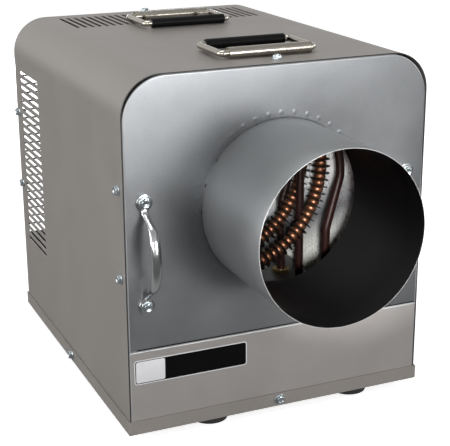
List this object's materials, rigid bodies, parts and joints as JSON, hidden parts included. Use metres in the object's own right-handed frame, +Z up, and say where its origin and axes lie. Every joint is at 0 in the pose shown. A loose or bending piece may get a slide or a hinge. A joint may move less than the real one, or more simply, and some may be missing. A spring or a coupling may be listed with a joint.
{
  "type": "forced air heater",
  "caption": "Portable ducted forced air heater: folded steel cabinet on rubber feet, round duct collar, finned coils, axial fan, guarded rear intake and folding top handles.",
  "frame": {"origin": "centre of the bounding box at the level of the feet's underside", "axes": "+X to the right as seen from the front, +Y rearward from the duct collar to the intake, +Z up"},
  "size_m": [0.4078, 0.65, 0.4588],
  "materials": {
    "cabinet_paint": "satin metallic silver-grey paint",
    "panel_paint": "satin metallic silver-grey paint",
    "collar_paint": "painted grey outside, dark inside",
    "nameplate_black": "gloss black plate with a thin bright rim and a blank label field",
    "zinc_hardware": "zinc plated",
    "handle_steel": "nickel plated",
    "grip_black": "black, slightly glossy",
    "foot_rubber": "matt black",
    "galvanised": "bright galvanised sheet",
    "coil_sheath": "heat-tinted, coppery brown",
    "coil_fin": "dark oxidised fins",
    "brass": "plain brass",
    "terminal": "off-white ceramic bead with a bright stud",
    "fan_aluminium": "pressed aluminium",
    "motor_black": "semi-gloss black",
    "motor_iron": "laminated iron",
    "bearing_bronze": "sintered bronze",
    "shaft_steel": "ground steel",
    "control_black": "black",
    "control_body": "dark grey moulding",
    "lamp_amber": "amber lens",
    "relay_body": "moulded black"
  },
  "bodies": {
    "cabinet": {"wrap_shell": "cabinet_paint", "base_tray": "cabinet_paint", "front_panel": "panel_paint", "lower_front_panel": "panel_paint", "outlet_collar": "collar_paint", "blank_nameplate": "nameplate_black", "rear_panel": "cabinet_paint", "intake_guard": "zinc_hardware", "guard_screws": "zinc_hardware", "front_feet": "foot_rubber", "rear_feet": "foot_rubber", "foot_screws": "zinc_hardware", "foot_nuts": "zinc_hardware", "chamber_deck": "galvanised", "chamber_liner": "galvanised", "fan_shroud": "galvanised", "motor_stator": "motor_iron", "motor_shell": "motor_black", "motor_front_bell": "motor_black", "motor_rear_bell": "motor_black", "motor_bearings": "bearing_bronze", "motor_mount": "zinc_hardware", "motor_mount_screws": "zinc_hardware", "front_coil_tube": "coil_sheath", "front_coil_fins": "coil_fin", "rear_coil_tube": "coil_sheath", "rear_coil_fins": "coil_fin", "coil_hangers": "galvanised", "coil_bushings": "brass", "coil_terminals": "terminal", "limit_switch": "control_body", "contactor": "relay_body", "terminal_block": "control_body", "thermostat_body": "control_body", "switch_housing": "control_black", "pilot_lamp": "lamp_amber", "cable_gland": "control_black", "gland_locknut": "zinc_hardware", "left_pull_handle": "handle_steel", "right_pull_handle": "handle_steel", "pull_handle_bolts": "zinc_hardware", "pull_handle_nuts": "zinc_hardware", "front_handle_bracket": "handle_steel", "rear_handle_bracket": "handle_steel", "handle_rivets": "zinc_hardware", "side_screws": "zinc_hardware", "top_screws": "zinc_hardware", "tray_screws": "zinc_hardware"},
    "fan": {"fan_blades": "fan_aluminium", "fan_hub": "fan_aluminium", "motor_shaft": "shaft_steel", "motor_rotor": "motor_iron"},
    "front_bail": {"front_handle_bail": "handle_steel", "front_handle_grip": "grip_black"},
    "rear_bail": {"rear_handle_bail": "handle_steel", "rear_handle_grip": "grip_black"},
    "knob": {"thermostat_knob": "control_black"},
    "rocker": {"switch_rocker": "control_black"}
  },
  "joints": [
    {"name": "fan_spin", "type": "hinge", "parent": "cabinet", "child": "fan", "pos_m": [0, 0.187, 0.2785], "axis": [0, 1, 0], "continuous": true},
    {"name": "front_handle_swing", "type": "hinge", "parent": "cabinet", "child": "front_bail", "pos_m": [0, -0.1235, 0.452], "axis": [1, 0, 0], "range_deg": [0, 90]},
    {"name": "rear_handle_swing", "type": "hinge", "parent": "cabinet", "child": "rear_bail", "pos_m": [0, 0.2, 0.452], "axis": [-1, 0, 0], "range_deg": [0, 90]},
    {"name": "thermostat_turn", "type": "hinge", "parent": "cabinet", "child": "knob", "pos_m": [0.12, 0.3, 0.063], "axis": [0, 1, 0], "range_deg": [0, 270]},
    {"name": "switch_rock", "type": "hinge", "parent": "cabinet", "child": "rocker", "pos_m": [0.055, 0.2985, 0.063], "axis": [-1, 0, 0], "range_deg": [0, 18]}
  ]
}
